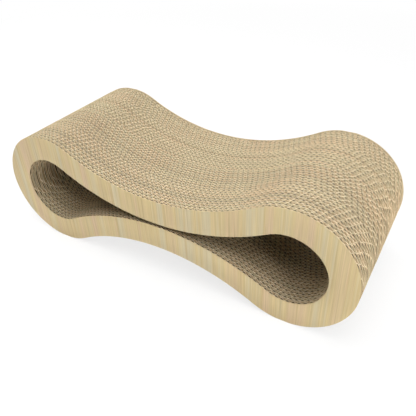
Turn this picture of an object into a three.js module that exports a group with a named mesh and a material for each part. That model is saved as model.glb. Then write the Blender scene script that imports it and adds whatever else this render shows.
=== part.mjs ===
// A cat scratcher lounge of corrugated cardboard. Seen from the side it is a closed band shaped like a
// lying figure eight: two round lobes, joined by a saddle above and a matching one below that nearly touch.
// The band is a stack of die-cut sheets of double-wall board, all of one outline, glued face to face
// across the width, with a wood-grain paper glued on each outer side. The flutes stand upright, so the cut
// edges that a cat lies on and scratches are open corrugation. The shape is the same upside down.
//
// Millimetres. X runs along the length, Y across the width, Z up. The origin is on the floor, under the
// middle of the lounge.
import * as THREE from "three";

// Outline of the band, seen from the side
const LENGTH = 600;
const HEIGHT = 190;
const WALL = 40; // thickness of the band all the way round
const WAIST_GAP = 5; // inside, where the two saddles nearly touch
const FOOT_WIDTH = 20; // flat under each lobe, and its twin on top

// Stack of double-wall sheets across the width
const SHEET_COUNT = 37;
const LINER = 0.3; // each of the three flat papers in a sheet
const LARGE_FLUTE = 3.0; // height of the wavy paper nearer the front
const SMALL_FLUTE = 2.1; // height of the wavy paper nearer the back
const GLUE_LINE = 0.15; // starch glue between two sheets, and under the side papers

// Printed wood-grain paper on both sides
const SIDE_PAPER = 0.6;
const SIDE_PAPER_TRIM = 0.5; // how far it stops short of the sheets' cut edges

// Largest distance between a curve and the straight facet that stands for it
const CHORD_ERROR = 0.7;

// What follows from those sizes
const lobeRadius = Math.hypot(HEIGHT / 2, FOOT_WIDTH / 2);
const lobeCentre = LENGTH / 2 - lobeRadius; // along X, at mid height
const saddleRise = WALL + WAIST_GAP / 2; // from mid height to the lowest point of the upper saddle
// The saddle's arc touches both lobes, so its radius follows from where they are.
const saddleRadius =
  (lobeCentre ** 2 + saddleRise ** 2 - lobeRadius ** 2) / (2 * (lobeRadius - saddleRise));
const saddleCentre = saddleRise + saddleRadius; // above mid height, on the middle line
const sheetThickness = 3 * LINER + LARGE_FLUTE + SMALL_FLUTE;
const sheetPitch = sheetThickness + GLUE_LINE;
const stackDepth = SHEET_COUNT * sheetPitch - GLUE_LINE;

// Points along an arc, close enough to stay within CHORD_ERROR of it. The last point is left to the next arc.
function arc(centreX, centreY, radius, from, to) {
  const widestStep = 2 * Math.acos(1 - CHORD_ERROR / radius);
  const steps = Math.ceil(Math.abs(to - from) / widestStep);
  return Array.from({ length: steps }, (_, i) => {
    const angle = from + ((to - from) * i) / steps;
    return new THREE.Vector2(
      centreX + radius * Math.cos(angle),
      centreY + radius * Math.sin(angle),
    );
  });
}

// The outline at a distance inside the lounge's outer surface, anticlockwise, about its own middle.
// A quarter of it, from the right end to the middle of the saddle, is mirrored into the other three.
function outline(inset) {
  const radius = lobeRadius - inset;
  const flatHeight = HEIGHT / 2 - inset;
  const flatAngle = Math.asin(flatHeight / radius);
  const touchAngle = Math.atan2(saddleCentre, -lobeCentre); // where lobe and saddle meet
  const quarter = [
    ...arc(lobeCentre, 0, radius, 0, flatAngle),
    new THREE.Vector2(lobeCentre + radius * Math.cos(flatAngle), flatHeight),
    ...arc(lobeCentre, 0, radius, Math.PI - flatAngle, touchAngle),
    ...arc(0, saddleCentre, saddleRadius + inset, touchAngle - Math.PI, -Math.PI / 2),
    new THREE.Vector2(0, saddleRise - inset),
  ];
  const upperLeft = quarter.slice(0, -1).reverse().map((p) => new THREE.Vector2(-p.x, p.y));
  const upper = [...quarter, ...upperLeft];
  const lower = upper.slice(1, -1).reverse().map((p) => new THREE.Vector2(p.x, -p.y));
  return [...upper, ...lower];
}

// The band's cross-section as a slab: the outer outline less the trim, with the tunnel as a hole.
function bandSlab(thickness, trim) {
  const shape = new THREE.Shape(outline(trim));
  shape.holes.push(new THREE.Path(outline(WALL - trim)));
  return new THREE.ExtrudeGeometry(shape, { depth: thickness, bevelEnabled: false });
}

// Stands a slab up with its thickness along Y, its front face at the given Y, and its foot on the floor.
function stand(geometry, material, name, front, thickness) {
  const mesh = new THREE.Mesh(geometry, material);
  mesh.name = name;
  mesh.rotation.x = Math.PI / 2;
  mesh.position.set(0, front + thickness, HEIGHT / 2);
  return mesh;
}

const cardboard = new THREE.MeshStandardMaterial({ color: 0xc9b18a, roughness: 0.9, metalness: 0 });
const woodGrainPaper = new THREE.MeshStandardMaterial({ color: 0xd3bd90, roughness: 0.6, metalness: 0 });

// The sheets, numbered from the front
function sheets() {
  const group = new THREE.Group();
  const geometry = bandSlab(sheetThickness, 0);
  for (let i = 0; i < SHEET_COUNT; i++) {
    const name = `corrugated_sheet_${String(i + 1).padStart(2, "0")}`;
    const front = -stackDepth / 2 + i * sheetPitch;
    group.add(stand(geometry, cardboard, name, front, sheetThickness));
  }
  return group;
}

// The printed papers on the two outer sides
function sidePapers() {
  const group = new THREE.Group();
  const geometry = bandSlab(SIDE_PAPER, SIDE_PAPER_TRIM);
  const frontFace = -stackDepth / 2 - GLUE_LINE - SIDE_PAPER;
  const backFace = stackDepth / 2 + GLUE_LINE;
  group.add(stand(geometry, woodGrainPaper, "side_paper_front", frontFace, SIDE_PAPER));
  group.add(stand(geometry, woodGrainPaper, "side_paper_back", backFace, SIDE_PAPER));
  return group;
}

const lounge = new THREE.Group();
lounge.add(sheets(), sidePapers());

export default lounge;
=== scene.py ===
"""A cat scratcher lounge of corrugated cardboard, dressed over its CAD frame.

The lounge is a stack of die-cut sheets of double-wall board with a wood-grain paper on each outer side.
Every sheet is modelled with its three flat papers and its two wavy ones, so that the cut edges show open
flutes. X runs along the length, Y across the width from front to back, and Z up. All places are in metres.
"""

import logging
import math
import random
from collections.abc import Callable, Iterator
from contextlib import contextmanager
from dataclasses import dataclass, field
from enum import Enum

import bmesh
import bpy
from mathutils import Matrix, Vector


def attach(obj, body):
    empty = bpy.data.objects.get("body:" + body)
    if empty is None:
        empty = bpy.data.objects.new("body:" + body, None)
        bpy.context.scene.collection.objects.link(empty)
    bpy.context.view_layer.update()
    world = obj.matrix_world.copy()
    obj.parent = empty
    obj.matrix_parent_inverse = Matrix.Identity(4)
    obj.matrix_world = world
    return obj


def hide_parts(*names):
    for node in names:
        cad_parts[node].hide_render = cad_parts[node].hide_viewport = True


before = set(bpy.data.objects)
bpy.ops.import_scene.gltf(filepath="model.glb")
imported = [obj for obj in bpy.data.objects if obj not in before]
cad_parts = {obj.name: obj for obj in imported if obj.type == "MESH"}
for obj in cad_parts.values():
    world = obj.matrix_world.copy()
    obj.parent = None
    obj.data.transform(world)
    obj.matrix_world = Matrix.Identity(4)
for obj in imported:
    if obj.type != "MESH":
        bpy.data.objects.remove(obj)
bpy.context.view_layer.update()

log = logging.getLogger("lounge")

Socket = bpy.types.NodeSocket
Value = Socket | float
Range = tuple[float, float]

MM = 0.001
BODY = "root"
MERGE = 0.01 * MM  # points nearer to each other than this are one
SEEDS = 10000  # how many different ways there are to dent a wavy paper
USUAL_NOISE = (0.25, 0.75)  # values of a noise texture outside these are rare


class Slot(Enum):
    """The record's material slots."""

    BOARD = "corrugated_board"
    PAPER = "wood_grain_paper"


class Side(Enum):
    """The two outer sides of the stack, by the way they face along Y."""

    FRONT = -1
    BACK = 1


def linear(colour: str) -> tuple[float, float, float, float]:
    """Turn an sRGB colour into the linear values that a shader takes.

    Args:
        colour: Six hex digits.

    Returns:
        Red, green, blue and a full alpha.
    """
    shares = [int(colour[i : i + 2], 16) / 255 for i in (0, 2, 4)]
    red, green, blue = (s / 12.92 if s <= 0.04045 else ((s + 0.055) / 1.055) ** 2.4 for s in shares)
    return red, green, blue, 1.0


def add_node(
    tree: bpy.types.NodeTree, kind: str, inputs: dict | None = None, **settings: object
) -> bpy.types.Node:
    """Add a node with its settings and links.

    Args:
        tree: The tree that takes the node.
        kind: The node's type.
        inputs: A value or another node's output socket for each input, by its name or number.
        **settings: The node's own properties.

    Returns:
        The new node.
    """
    node = tree.nodes.new(kind)
    for name, value in settings.items():
        setattr(node, name, value)
    for key, value in (inputs or {}).items():
        if isinstance(value, Socket):
            tree.links.new(value, node.inputs[key])
        else:
            node.inputs[key].default_value = value
    return node


def maths(tree: bpy.types.NodeTree, operation: str, *values: Value) -> Socket:
    """Add a node that calculates, and return its result."""
    return add_node(tree, "ShaderNodeMath", dict(enumerate(values)), operation=operation).outputs[0]


def remap(
    tree: bpy.types.NodeTree, value: Value, source: Range = (0.0, 1.0),
    target: tuple[Value, Value] = (0.0, 1.0), smooth: bool = False,
) -> Socket:
    """Add a node that maps one range on another and holds at its ends.

    Args:
        tree: The tree that takes the node.
        value: What is mapped.
        source: The range that it is expected in.
        target: What the ends of that range become.
        smooth: Whether the result leaves and reaches its ends gently.

    Returns:
        The mapped value.
    """
    inputs = {0: value, 1: source[0], 2: source[1], 3: target[0], 4: target[1]}
    kind = "SMOOTHSTEP" if smooth else "LINEAR"
    return add_node(tree, "ShaderNodeMapRange", inputs, interpolation_type=kind).outputs[0]


def blend_colours(
    tree: bpy.types.NodeTree, share: Value, below: Socket | tuple, above: Socket | tuple
) -> Socket:
    """Add a node that blends two colours.

    Args:
        tree: The tree that takes the node.
        share: How much of the second colour there is.
        below: The colour at a share of 0.
        above: The colour at a share of 1.

    Returns:
        The blended colour.
    """
    inputs = {0: share, 6: below, 7: above}
    return add_node(tree, "ShaderNodeMix", inputs, data_type="RGBA").outputs[2]


def noise(
    tree: bpy.types.NodeTree, place: Socket, size: float, detail: float, roughness: float = 0.5
) -> Socket:
    """Add a noise texture.

    Args:
        tree: The tree that takes the node.
        place: The point, in metres.
        size: About how wide its patches are, in metres.
        detail: How many finer layers it has.
        roughness: How strong each finer layer is.

    Returns:
        The noise, mostly within USUAL_NOISE.
    """
    inputs = {"Vector": place, "Scale": 1 / size, "Detail": detail, "Roughness": roughness}
    return add_node(tree, "ShaderNodeTexNoise", inputs).outputs["Fac"]


def new_material(name: str) -> tuple[bpy.types.Material, bpy.types.NodeTree]:
    """Make a material with an empty node tree.

    Args:
        name: The real material's name.

    Returns:
        The material and its tree.
    """
    material = bpy.data.materials.new(name)
    material.use_nodes = True
    material.node_tree.nodes.clear()
    return material, material.node_tree


def pick(piece: bpy.types.Object) -> None:
    """Select one object and nothing else.

    Args:
        piece: The object, which becomes the active one.
    """
    bpy.ops.object.select_all(action="DESELECT")
    piece.select_set(True)
    bpy.context.view_layer.objects.active = piece


@contextmanager
def editing(piece: bpy.types.Object) -> Iterator[None]:
    """Work on one object in edit mode, with all of it selected at the start.

    Args:
        piece: The object to edit.

    Yields:
        Nothing.
    """
    pick(piece)
    bpy.ops.object.mode_set(mode="EDIT")
    bpy.ops.mesh.select_all(action="SELECT")
    yield
    bpy.ops.object.mode_set(mode="OBJECT")


def select_where(piece: bpy.types.Object, test: Callable[[Vector], bool]) -> None:
    """Select the vertices that pass a test, in edit mode.

    Args:
        piece: The object that is being edited.
        test: Says of a vertex's place whether it is selected.
    """
    bpy.ops.mesh.select_all(action="DESELECT")
    mesh = bmesh.from_edit_mesh(piece.data)
    for vertex in mesh.verts:
        vertex.select_set(test(vertex.co))
    mesh.select_flush_mode()
    bmesh.update_edit_mesh(piece.data)


def apply_modifier(piece: bpy.types.Object, kind: str, **settings: object) -> None:
    """Add a modifier and apply it.

    Args:
        piece: The object that it changes.
        kind: The modifier's type.
        **settings: The modifier's properties. A list or tuple fills a vector.
    """
    pick(piece)
    modifier = piece.modifiers.new(kind.lower(), kind)
    for name, value in settings.items():
        setattr(modifier, name, value)
    bpy.ops.object.modifier_apply(modifier=modifier.name)


def copy_of(piece: bpy.types.Object, name: str) -> bpy.types.Object:
    """Copy an object with a mesh of its own.

    Args:
        piece: The object to copy.
        name: The copy's name.

    Returns:
        The copy.
    """
    pick(piece)
    bpy.ops.object.duplicate(linked=False)
    copy = bpy.context.object
    copy.name = copy.data.name = name
    return copy


def move_to(piece: bpy.types.Object, place: tuple[float, float, float]) -> None:
    """Move a piece and put its new place in its mesh.

    Args:
        piece: The object to move.
        place: How far it goes along X, Y and Z.
    """
    pick(piece)
    piece.location = place
    bpy.ops.object.transform_apply(location=True, rotation=False, scale=False)


def join(pieces: list[bpy.types.Object]) -> bpy.types.Object:
    """Join meshes.

    Args:
        pieces: The objects, which all go into the first of them.

    Returns:
        The first object.
    """
    pick(pieces[0])
    for piece in pieces[1:]:
        piece.select_set(True)
    bpy.ops.object.join()
    return pieces[0]


@dataclass(frozen=True)
class KraftBoard:
    """Unbleached kraft board, made on a corrugator and die-cut.

    The eye gets a dull, fibrous light brown that is palest where the die has torn the fibres open. Below
    the cut edges the papers carry painted shade, first brown and then nearly black, where the eye looks down
    between the papers. Each sheet differs a little from the next, and painted shade makes all of the board a
    little darker inside the tunnel.
    """

    torn_rim: str = "F9ECCA"
    pale_face: str = "EDDCAE"
    warm_face: str = "F1D3A5"
    # Painted shade: the brown, then the near black, that the papers turn below the cut edges.
    pit_shade_brown: str = "A0641F"
    pit_shade_colour: str = "40280A"
    fleck: str = "8C6D4A"
    roughness: float = 0.94
    gloss: float = 0.05
    shade_start_depth: float = 0.1 * MM  # below the cut, where the painted shade starts
    shade_full_depth: float = 0.8 * MM  # below the cut, where the painted shade is full
    brown_shade_share: float = 0.3  # of the painted shade, where a paper is wholly brown before it turns nearly black
    small_flute_shade_share: float = 0.26  # of the large wavy paper's painted shade, for the small one
    liner_shade_share: float = 0.13  # of the same painted shade, for the flat papers' faces
    large_flute_end: float = 0.56  # of a sheet's pitch, from its front: the large wavy paper lies before it
    flat_turn: float = 0.99  # a face that points along Y more than this counts as a flat paper's
    rim_turn: Range = (0.35, 0.15)  # how far a face points along Y where the torn rim starts and is full
    rim_share: float = 0.8  # of the torn rim's colour, where it is full
    tunnel_shade: float = 0.84  # painted shade: share of the board's own brightness that is kept inside the tunnel
    tunnel_edge: float = 8 * MM  # past the band's middle, where the painted tunnel shade is wholly there
    drift_size: float = 90 * MM  # warm and pale patches that spread over many sheets
    sheet_weight: float = 0.35  # how much a sheet's own colour counts beside that drift
    warm_range: Range = (0.45, 0.9)  # of both together, from wholly pale to wholly warm
    mottle_size: float = 9 * MM
    mottle_swing: float = 0.07  # how much brighter or darker the mottle makes it
    fibre_size: float = 0.8 * MM
    fleck_range: Range = (0.6, 0.8)  # of the fibres' noise, from no fleck to a full one
    fleck_share: float = 0.4  # of the fleck's colour, in a full one
    fibre_height: float = 0.05 * MM
    fibre_relief: float = 0.25

    def face(self, tree: bpy.types.NodeTree, place: Socket, sheet: Socket) -> Socket:
        """Add the nodes for the board's own colour.

        Args:
            tree: The material's tree.
            place: The point, in the lounge's own frame.
            sheet: Which sheet it lies in, counted from the front.

        Returns:
            The colour.
        """
        number = maths(tree, "FLOOR", sheet)
        batch = add_node(tree, "ShaderNodeTexWhiteNoise", {"W": number}, noise_dimensions="1D")
        drift = noise(tree, place, self.drift_size, 1.0)
        blend = maths(tree, "MULTIPLY_ADD", batch.outputs["Value"], self.sheet_weight, drift)
        warmth = remap(tree, blend, self.warm_range, smooth=True)
        return blend_colours(tree, warmth, linear(self.pale_face), linear(self.warm_face))

    def material(
        self, outline: "DieOutline", sheet_pitch: float, stack_depth: float
    ) -> bpy.types.Material:
        """Make the material.

        Args:
            outline: The shape that the die cuts.
            sheet_pitch: From one sheet's front to the next one's.
            stack_depth: All the sheets together.

        Returns:
            The material, for every sheet.
        """
        material, tree = new_material("kraft corrugated board")
        place = add_node(tree, "ShaderNodeTexCoord").outputs["Object"]
        axes = add_node(tree, "ShaderNodeSeparateXYZ", {0: place}).outputs
        depth = maths(tree, "ADD", axes[1], stack_depth / 2)
        sheet = maths(tree, "DIVIDE", depth, sheet_pitch)
        face = self.face(tree, place, sheet)

        # How much painted shade each paper gets: all of it on the large wavy paper, less on the small one
        # and least on the flat papers' faces.
        normal = add_node(tree, "ShaderNodeNewGeometry").outputs["True Normal"]
        turn = add_node(tree, "ShaderNodeSeparateXYZ", {0: normal}).outputs[1]
        across = maths(tree, "ABSOLUTE", turn)
        slanted = maths(tree, "LESS_THAN", across, self.flat_turn)
        large = maths(tree, "LESS_THAN", maths(tree, "FRACT", sheet), self.large_flute_end)
        wavy_shade_share = remap(tree, large, target=(self.small_flute_shade_share, 1.0))
        share = remap(tree, slanted, target=(self.liner_shade_share, wavy_shade_share))

        below_cut, inward = outline.depths(tree, place)
        # Painted shade: below the nearest cut edge the papers turn brown and then nearly black with depth,
        # where the eye looks down between them.
        sunk_shade = remap(tree, below_cut, (self.shade_start_depth, self.shade_full_depth), smooth=True)
        painted_shade = maths(tree, "MULTIPLY", share, sunk_shade)
        brown_shade = remap(tree, painted_shade, (0.0, self.brown_shade_share))
        brown_shaded_colour = blend_colours(tree, brown_shade, face, linear(self.pit_shade_brown))
        painted_shade_colour = blend_colours(tree, painted_shade, brown_shaded_colour, linear(self.pit_shade_colour))

        rim = remap(tree, across, self.rim_turn, (0.0, self.rim_share))
        torn = blend_colours(tree, rim, painted_shade_colour, linear(self.torn_rim))
        fibres = noise(tree, place, self.fibre_size, 2.0)
        specks = remap(tree, fibres, self.fleck_range, (0.0, self.fleck_share))
        flecked = blend_colours(tree, specks, torn, linear(self.fleck))

        mottle = noise(tree, place, self.mottle_size, 3.0)
        value = remap(tree, mottle, USUAL_NOISE, (1 - self.mottle_swing, 1 + self.mottle_swing))
        # Painted shade: all of the board is made darker inside the tunnel; the random mottle is multiplied
        # in with it.
        in_tunnel = remap(tree, inward, (0.0, self.tunnel_edge), smooth=True)
        shade = remap(tree, in_tunnel, target=(1.0, self.tunnel_shade))
        level = maths(tree, "MULTIPLY", value, shade)
        colour = add_node(tree, "ShaderNodeHueSaturation", {"Value": level, "Color": flecked})
        bump = add_node(
            tree, "ShaderNodeBump",
            {"Strength": self.fibre_relief, "Distance": self.fibre_height, "Height": fibres},
        )
        shader = add_node(
            tree, "ShaderNodeBsdfPrincipled",
            {"Base Color": colour.outputs[0], "Roughness": self.roughness, "Normal": bump.outputs[0],
             "Specular IOR Level": self.gloss},
        )
        add_node(tree, "ShaderNodeOutputMaterial", {"Surface": shader.outputs[0]})
        return material


@dataclass(frozen=True)
class WoodGrainPaper:
    """Paper printed with a plain light wood grain and given a thin matt varnish.

    The eye gets a smooth pale yellow beige, in soft upright bands with fine upright streaks.
    """

    grey: str = "D5C7A3"
    yellow: str = "D7C290"
    pink: str = "D9BF9A"
    line: str = "AE8B57"
    grey_at: float = 0.36  # of the bands' noise, for this colour and the next two
    yellow_at: float = 0.49
    pink_at: float = 0.64
    roughness: float = 0.55
    gloss: float = 0.35
    band_width: float = 24 * MM
    streak_width: float = 1.3 * MM
    streak_swing: float = 0.14  # how much brighter or darker a streak is
    line_width: float = 3 * MM
    line_range: Range = (0.52, 0.76)  # of the lines' noise, from no line to a full one
    line_share: float = 0.5  # of the line's colour, in a full one
    stretch: float = 70.0  # how much longer the grain is than it is wide

    def material(self) -> bpy.types.Material:
        """Make the material.

        Returns:
            The material, for both outer sides.
        """
        material, tree = new_material("printed wood-grain paper")
        place = add_node(tree, "ShaderNodeTexCoord").outputs["Object"]
        grain = add_node(tree, "ShaderNodeMapping", {0: place, 3: (1.0, 1.0, 1 / self.stretch)}).outputs[0]
        bands = noise(tree, grain, self.band_width, 3.0, 0.6)
        ramp = add_node(tree, "ShaderNodeValToRGB", {0: bands})
        stops = ramp.color_ramp.elements
        stops[0].position = self.grey_at
        stops[0].color = linear(self.grey)
        stops[1].position = self.pink_at
        stops[1].color = linear(self.pink)
        stops.new(self.yellow_at).color = linear(self.yellow)

        streaks = noise(tree, grain, self.streak_width, 2.0, 0.6)
        value = remap(tree, streaks, USUAL_NOISE, (1 - self.streak_swing, 1 + self.streak_swing))
        lines = noise(tree, grain, self.line_width, 3.0, 0.7)
        marks = remap(tree, lines, self.line_range, (0.0, self.line_share))
        marked = blend_colours(tree, marks, ramp.outputs[0], linear(self.line))
        colour = add_node(tree, "ShaderNodeHueSaturation", {"Value": value, "Color": marked})
        shader = add_node(
            tree, "ShaderNodeBsdfPrincipled",
            {"Base Color": colour.outputs[0], "Roughness": self.roughness, "Specular IOR Level": self.gloss},
        )
        add_node(tree, "ShaderNodeOutputMaterial", {"Surface": shader.outputs[0]})
        return material


@dataclass(frozen=True)
class DieOutline:
    """The shape that the die cuts, seen from the side: two round lobes joined by two saddles."""

    length: float = 600 * MM
    height: float = 190 * MM
    wall: float = 40 * MM
    waist_gap: float = 5 * MM
    foot_width: float = 20 * MM
    lobe_steps: int = 36
    saddle_steps: int = 18

    @property
    def lobe_radius(self) -> float:
        """The outer radius of a lobe."""
        return math.hypot(self.height / 2, self.foot_width / 2)

    @property
    def lobe_centre(self) -> float:
        """How far a lobe's centre is from the middle, along X."""
        return self.length / 2 - self.lobe_radius

    @property
    def saddle_centre(self) -> float:
        """How far above mid height the upper saddle's arc is centred. The arc touches both lobes."""
        rise = self.wall + self.waist_gap / 2
        radius = (self.lobe_centre**2 + rise**2 - self.lobe_radius**2) / (2 * (self.lobe_radius - rise))
        return rise + radius

    @property
    def saddle_radius(self) -> float:
        """The radius of the saddle's outer arc, which bends the other way from the lobes."""
        return self.saddle_centre - self.wall - self.waist_gap / 2

    def depths(self, tree: bpy.types.NodeTree, place: Socket) -> tuple[Socket, Socket]:
        """Add the nodes that measure where a point lies in the thickness of the band.

        Args:
            tree: The material's tree.
            place: The point, in the lounge's own frame.

        Returns:
            How deep it lies below the nearest cut edge, and how far it is from the band's middle towards the
            tunnel. Both are in metres.
        """
        centred = add_node(
            tree, "ShaderNodeMapping", {0: place, 1: (0, 0, -self.height / 2), 3: (1, 0, 1)}
        ).outputs[0]
        quarter = add_node(tree, "ShaderNodeVectorMath", {0: centred}, operation="ABSOLUTE").outputs[0]
        half_wall = self.wall / 2
        inwards = []
        for centre, middle, way in (
            ((0, 0, self.saddle_centre), self.saddle_radius + half_wall, 1),
            ((self.lobe_centre, 0, 0), self.lobe_radius - half_wall, -1),
        ):
            reach = add_node(tree, "ShaderNodeVectorMath", {0: quarter, 1: centre}, operation="DISTANCE")
            inwards.append(maths(tree, "MULTIPLY_ADD", reach.outputs["Value"], way, -way * middle))
        # The line through both centres parts the saddle from the lobe.
        share = add_node(
            tree, "ShaderNodeVectorMath",
            {0: quarter, 1: (1 / self.lobe_centre, 0, 1 / self.saddle_centre)}, operation="DOT_PRODUCT",
        ).outputs["Value"]
        in_lobe = maths(tree, "GREATER_THAN", share, 1.0)
        inward = add_node(
            tree, "ShaderNodeMix", {0: in_lobe, 2: inwards[0], 3: inwards[1]}, data_type="FLOAT"
        ).outputs[0]
        nearest = maths(tree, "SUBTRACT", half_wall, maths(tree, "ABSOLUTE", inward))
        height = add_node(tree, "ShaderNodeSeparateXYZ", {0: quarter}).outputs[2]
        below_flat = maths(tree, "SUBTRACT", self.height / 2, height)
        return maths(tree, "MINIMUM", nearest, below_flat), inward

    def ring(self, name: str, inset: float = 0.0) -> bpy.types.Object:
        """Spin the wall round a quarter of the outline, mirror it, and cut the flats on foot and crown.

        Args:
            name: The new object's name.
            inset: How far the ring stays inside the die's outline on both of its edges.

        Returns:
            A flat ring in the plane of X and Z, about the outline's own middle.
        """
        band = self.wall - 2 * inset
        bpy.ops.object.select_all(action="DESELECT")
        bpy.ops.mesh.primitive_plane_add(size=band, location=((self.length - self.wall) / 2, band / 2, 0))
        ring = bpy.context.object
        ring.name = ring.data.name = name
        bpy.ops.object.transform_apply(location=True, rotation=False, scale=False)
        with editing(ring):
            select_where(ring, lambda place: place.y > band / 2)
            bpy.ops.mesh.delete(type="VERT")
            bpy.ops.mesh.select_all(action="SELECT")
            bpy.ops.mesh.spin(
                steps=self.lobe_steps, angle=math.atan2(self.saddle_centre, -self.lobe_centre),
                center=(self.lobe_centre, 0, 0), axis=(0, 1, 0),
            )
            bpy.ops.mesh.spin(
                steps=self.saddle_steps, angle=math.atan2(self.lobe_centre, self.saddle_centre),
                center=(0, 0, self.saddle_centre), axis=(0, -1, 0),
            )
        apply_modifier(ring, "MIRROR", use_axis=(True, False, True), merge_threshold=MERGE)
        flat = self.height / 2 - inset
        with editing(ring):
            for way in (-1, 1):
                bpy.ops.mesh.select_all(action="SELECT")
                bpy.ops.mesh.bisect(plane_co=(0, 0, way * flat), plane_no=(0, 0, way), clear_outer=True)
        return ring

    def slab(self, name: str, thickness: float, inset: float = 0.0) -> bpy.types.Object:
        """Give a ring a thickness.

        Args:
            name: The new object's name.
            thickness: How far it reaches along Y, from zero.
            inset: How far it stays inside the die's outline.

        Returns:
            A closed slab about the outline's own middle.
        """
        slab = self.ring(name, inset)
        with editing(slab):
            bpy.ops.mesh.extrude_region_move(TRANSFORM_OT_translate={"value": (0, thickness, 0)})
            bpy.ops.mesh.select_all(action="SELECT")
            bpy.ops.mesh.normals_make_consistent(inside=False)
        return slab


@dataclass(frozen=True)
class Flute:
    """One wavy paper of a sheet. Its waves follow each other along X and its flutes stand upright."""

    name: str
    pitch: float
    room: float  # between the liners on its two sides
    middle: float  # behind the sheet's front face
    paper: float  # as thick as it looks where the die has crushed it and torn its fibres
    crest: float = 1.0  # 1 is an even wave, and more has narrow crests at the back and broad ones in front
    lean: float = 0.0  # how far a crest at the back stands to the left of the feet of its flanks
    steps: int = 6  # straight pieces in one wave
    wander: float = 0.0  # most that its waves lie off the place that the die gives them, in each sheet
    spare_height: float = 4 * MM  # that the blank has over the die's outline, above and below together
    spare_waves: int = 3  # that it has over the die's length
    still: float = 0.1 * MM  # a point that has not been moved yet lies this near to its place in the grid

    def blank(self, outline: DieOutline) -> bpy.types.Object:
        """Model one wave, repeat it past the length of the lounge, and leave it uncut.

        Args:
            outline: The shape that the die will cut from it.

        Returns:
            The uncut wavy paper, a surface without thickness, centred on the outline's middle.
        """
        bpy.ops.object.select_all(action="DESELECT")
        bpy.ops.mesh.primitive_grid_add(
            x_subdivisions=self.steps, y_subdivisions=1, size=1, rotation=(math.pi / 2, 0, 0)
        )
        wave = bpy.context.object
        wave.name = wave.data.name = self.name
        wave.scale = (self.pitch, outline.height + self.spare_height, 1)
        bpy.ops.object.transform_apply(location=False, rotation=True, scale=True)
        swing = (self.room - self.paper) / 2
        with editing(wave):
            for step in range(self.steps + 1):
                along = self.pitch * (step / self.steps - 0.5)
                select_where(
                    wave, lambda place: place.y < self.still and abs(place.x - along) < self.still
                )
                height = ((1 + math.cos(math.tau * step / self.steps)) / 2) ** self.crest
                rise = swing * (2 * height - 1)
                bpy.ops.transform.translate(value=(-height * self.lean, self.middle + rise, 0))
        count = math.ceil(outline.length / self.pitch) + self.spare_waves
        apply_modifier(
            wave, "ARRAY", count=count, use_relative_offset=False, use_constant_offset=True,
            constant_offset_displace=(self.pitch, 0, 0), use_merge_vertices=True, merge_threshold=MERGE,
        )
        move_to(wave, (-(count - 1) * self.pitch / 2, 0, 0))
        return wave


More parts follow.
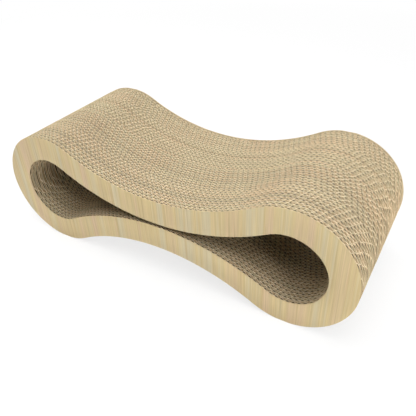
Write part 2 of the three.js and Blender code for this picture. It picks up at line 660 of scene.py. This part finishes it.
@dataclass
class CorrugatedStack:
    """The sheets of double-wall board, glued face to face across the width."""

    outline: DieOutline
    finish: KraftBoard
    count: int = 37
    liner: float = 0.3 * MM
    large_flute: float = 3.0 * MM
    small_flute: float = 2.1 * MM
    glue_line: float = 0.15 * MM
    large_pitch: float = 8.16 * MM
    small_pitch: float = 6.94 * MM
    large_paper: float = 0.5 * MM
    small_paper: float = 0.35 * MM
    die_step: float = 2.2 * MM  # how much further along X the waves start, from sheet to sheet
    die_scatter: float = 0.07  # spread of that step, as a share of the large flute's pitch
    bundle: int = 10  # sheets after which the waves step the other way
    slip: float = 0.15 * MM  # most that a sheet sits off its place, and how much smaller it is cut for that
    dent: float = 0.13 * MM  # most that a point of a wavy paper is off its wave
    crease_angle: float = math.radians(50)  # edges that turn by more than this stay sharp
    seed: int = 11
    sheets: list[bpy.types.Object] = field(default_factory=list)

    @property
    def thickness(self) -> float:
        """One sheet, without glue."""
        return 3 * self.liner + self.large_flute + self.small_flute

    @property
    def pitch(self) -> float:
        """From one sheet's front to the next one's."""
        return self.thickness + self.glue_line

    @property
    def depth(self) -> float:
        """All the sheets together."""
        return self.count * self.pitch - self.glue_line

    def flutes(self) -> tuple[Flute, Flute]:
        """Describe the two wavy papers.

        Returns:
            The large one, which is in front, and the small one behind it.
        """
        large_middle = self.liner + self.large_flute / 2
        small_middle = self.thickness - self.liner - self.small_flute / 2
        return (
            Flute(
                "large flute", self.large_pitch, self.large_flute, large_middle, self.large_paper,
                crest=1.1, lean=1.6 * MM, steps=10,
            ),
            Flute(
                "small flute", self.small_pitch, self.small_flute, small_middle, self.small_paper,
                wander=3.5 * MM,
            ),
        )

    def flat_papers(self) -> bpy.types.Object:
        """Cut the three flat papers of a sheet.

        Returns:
            One object with all three, at the places that they have in a sheet.
        """
        papers = self.outline.slab("flat papers", self.liner, self.slip)
        behind_large = self.liner + self.large_flute
        behind_small = self.thickness - self.liner
        with editing(papers):
            for step in (behind_large, behind_small - behind_large):
                bpy.ops.mesh.duplicate_move(TRANSFORM_OT_translate={"value": (0, step, 0)})
        return papers

    def build(self) -> None:
        """Model every sheet: flat papers, and wavy papers that the die cuts to the outline."""
        rng = random.Random(self.seed)
        papers = self.flat_papers()
        die = self.outline.slab("die", self.thickness, self.slip)
        flutes = self.flutes()
        blanks = [flute.blank(self.outline) for flute in flutes]
        along = 0.0
        for number in range(self.count):
            name = f"corrugated_sheet_{number + 1:02d}"
            way = 1 if number // self.bundle % 2 == 0 else -1
            along += way * self.die_step + rng.gauss(0, self.die_scatter) * self.large_pitch
            waves = []
            for flute, blank in zip(flutes, blanks):
                wave = copy_of(blank, f"{name} {flute.name}")
                shift = along + rng.uniform(-1, 1) * flute.wander
                move_to(wave, (math.remainder(shift, flute.pitch), 0, 0))
                with editing(wave):
                    bpy.ops.transform.vertex_random(offset=self.dent, seed=rng.randrange(SEEDS))
                apply_modifier(wave, "SOLIDIFY", thickness=flute.paper, offset=0.0)
                waves.append(wave)
            cut = join(waves)
            apply_modifier(cut, "BOOLEAN", operation="INTERSECT", object=die, solver="MANIFOLD")
            sheet = join([copy_of(papers, name + "_dressed"), cut])
            front = -self.depth / 2 + number * self.pitch
            slip = self.slip * Vector((rng.uniform(-1, 1), 0, rng.uniform(-1, 1)))
            move_to(sheet, (slip.x, front, self.outline.height / 2 + slip.z))
            bpy.ops.object.shade_smooth_by_angle(angle=self.crease_angle)
            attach(sheet, BODY)
            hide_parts(name)
            self.sheets.append(sheet)
        for spare in (papers, die, *blanks):
            bpy.data.objects.remove(spare, do_unlink=True)

    def dress(self) -> None:
        """Give every sheet its finish."""
        board = self.finish.material(self.outline, self.pitch, self.depth)
        for sheet in self.sheets:
            sheet.data.materials.clear()
            sheet.data.materials.append(board)


@dataclass
class SidePaper:
    """The printed paper on one outer side."""

    outline: DieOutline
    side: Side
    stack_depth: float
    thickness: float = 0.6 * MM
    trim: float = 0.5 * MM
    glue_line: float = 0.15 * MM
    edge_round: float = 0.12 * MM
    edge_steps: int = 2
    edge_angle: float = math.radians(60)  # edges that turn by more than this are rounded
    crease_angle: float = math.radians(30)  # edges that turn by more than this stay sharp
    piece: bpy.types.Object | None = None

    def build(self) -> None:
        """Cut the paper a little smaller than the sheets and round its edges."""
        name = f"side_paper_{self.side.name.lower()}"
        paper = self.outline.slab(name + "_dressed", self.thickness, self.trim)
        near = self.stack_depth / 2 + self.glue_line
        front = near if self.side is Side.BACK else -near - self.thickness
        move_to(paper, (0, front, self.outline.height / 2))
        apply_modifier(
            paper, "BEVEL", width=self.edge_round, segments=self.edge_steps, limit_method="ANGLE",
            angle_limit=self.edge_angle,
        )
        pick(paper)
        bpy.ops.object.shade_smooth_by_angle(angle=self.crease_angle)
        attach(paper, BODY)
        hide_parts(name)
        self.piece = paper

    def dress(self, material: bpy.types.Material) -> None:
        """Give the paper its printed finish."""
        self.piece.data.materials.append(material)


@dataclass(frozen=True)
class Lamp:
    """A square soft lamp that faces the lounge."""

    name: str
    place: tuple[float, float, float]
    size: float  # its side
    power: float  # in watts
    aim: tuple[float, float, float] = (0.0, 0.0, 0.1)

    def build(self) -> None:
        """Hang the lamp."""
        data = bpy.data.lights.new(self.name, "AREA")
        data.size = self.size
        data.energy = self.power
        lamp = bpy.data.objects.new(self.name, data)
        lamp.location = self.place
        look = Vector(self.aim) - Vector(self.place)
        lamp.rotation_euler = look.to_track_quat("-Z", "Y").to_euler()
        bpy.context.scene.collection.objects.link(lamp)


@dataclass
class Studio:
    """A pale floor, a white background, soft lamps and the camera at the photograph's angle."""

    camera_place: tuple[float, float, float] = (0.35658, -0.54519, 0.51527)
    camera_aim: tuple[float, float, float] = (0.02025, 0.0, 0.06085)
    camera_roll: float = math.radians(-2.479)
    lens: float = 40.987  # this and the sensor's width are in millimetres
    sensor: float = 36
    ambient: float = 0.04
    floor_size: float = 12
    floor_colour: str = "FAFAFA"
    fade: Range = (0.6, 1.8)  # from the lounge's middle, where the floor starts to turn whiter and is white
    near_whiteness: float = 0.78  # share of plain white in the floor that the camera sees nearer than that
    lamps: tuple[Lamp, ...] = (
        Lamp("overhead lamp", (0.25, -0.4, 1.8), 1.6, 32.4),
        Lamp("right lamp", (1.75, -0.55, 1.0), 1.2, 16.5),
        Lamp("left lamp", (-1.75, 0.3, 1.2), 1.2, 29.0),
        Lamp("back lamp", (0.0, 1.7, 1.5), 1.2, 9.5),
    )

    def set_camera(self) -> None:
        """Stand the camera where the photograph was taken from."""
        data = bpy.data.cameras.new("camera")
        data.lens = self.lens
        data.sensor_fit = "HORIZONTAL"
        data.sensor_width = self.sensor
        camera = bpy.data.objects.new("camera", data)
        place = Vector(self.camera_place)
        look = (Vector(self.camera_aim) - place).to_track_quat("-Z", "Y").to_matrix()
        turn = look @ Matrix.Rotation(self.camera_roll, 3, "Z")
        camera.matrix_world = Matrix.Translation(place) @ turn.to_4x4()
        bpy.context.scene.collection.objects.link(camera)
        bpy.context.scene.camera = camera

    def lay_floor(self) -> None:
        """Lay a white floor that keeps the lounge's soft shadow and has no visible far edge."""
        bpy.ops.object.select_all(action="DESELECT")
        bpy.ops.mesh.primitive_plane_add(size=self.floor_size, location=(0, 0, 0))
        floor = bpy.context.object
        floor.name = "floor"
        material, tree = new_material("white studio floor")
        paint = add_node(tree, "ShaderNodeBsdfDiffuse", {"Color": linear(self.floor_colour)})
        white = add_node(tree, "ShaderNodeEmission", {"Color": (1, 1, 1, 1), "Strength": 1.0})
        seen = add_node(tree, "ShaderNodeLightPath").outputs["Is Camera Ray"]
        place = add_node(tree, "ShaderNodeTexCoord").outputs["Object"]
        reach = add_node(tree, "ShaderNodeVectorMath", {0: place}, operation="LENGTH").outputs["Value"]
        whiteness = remap(tree, reach, self.fade, (self.near_whiteness, 1.0))
        share = maths(tree, "MULTIPLY", seen, whiteness)
        mix = add_node(tree, "ShaderNodeMixShader", {0: share, 1: paint.outputs[0], 2: white.outputs[0]})
        add_node(tree, "ShaderNodeOutputMaterial", {"Surface": mix.outputs[0]})
        floor.data.materials.append(material)

    def light_world(self) -> None:
        """Light the lounge evenly from all round, in front of a white background."""
        world = bpy.data.worlds.new("white studio")
        world.use_nodes = True
        tree = world.node_tree
        tree.nodes.clear()
        path = add_node(tree, "ShaderNodeLightPath").outputs
        shiny = maths(tree, "MAXIMUM", path["Is Glossy Ray"], path["Is Transmission Ray"])
        seen = maths(tree, "MAXIMUM", path["Is Camera Ray"], shiny)
        strength = remap(tree, seen, target=(self.ambient, 1.0))
        sky = add_node(tree, "ShaderNodeBackground", {"Color": (1, 1, 1, 1), "Strength": strength})
        add_node(tree, "ShaderNodeOutputWorld", {"Surface": sky.outputs[0]})
        bpy.context.scene.world = world

    def build(self) -> None:
        """Set up floor, world and lamps."""
        self.lay_floor()
        self.light_world()
        for lamp in self.lamps:
            lamp.build()
        bpy.context.scene.view_settings.view_transform = "Standard"


def main() -> None:
    """Build the lounge and its studio, and log how many faces each sheet and side paper has."""
    logging.basicConfig(level=logging.INFO, format="%(message)s")
    studio = Studio()
    studio.set_camera()
    outline = DieOutline()

    stack = CorrugatedStack(outline, KraftBoard())
    stack.build()
    stack.dress()
    for sheet in stack.sheets:
        log.info("%s: %d faces", sheet.name, len(sheet.data.polygons))

    grain = WoodGrainPaper().material()
    for side in Side:
        paper = SidePaper(outline, side, stack.depth)
        paper.build()
        paper.dress(grain)
        log.info("%s: %d faces", paper.piece.name, len(paper.piece.data.polygons))

    studio.build()


if __name__ == "__main__":
    main()
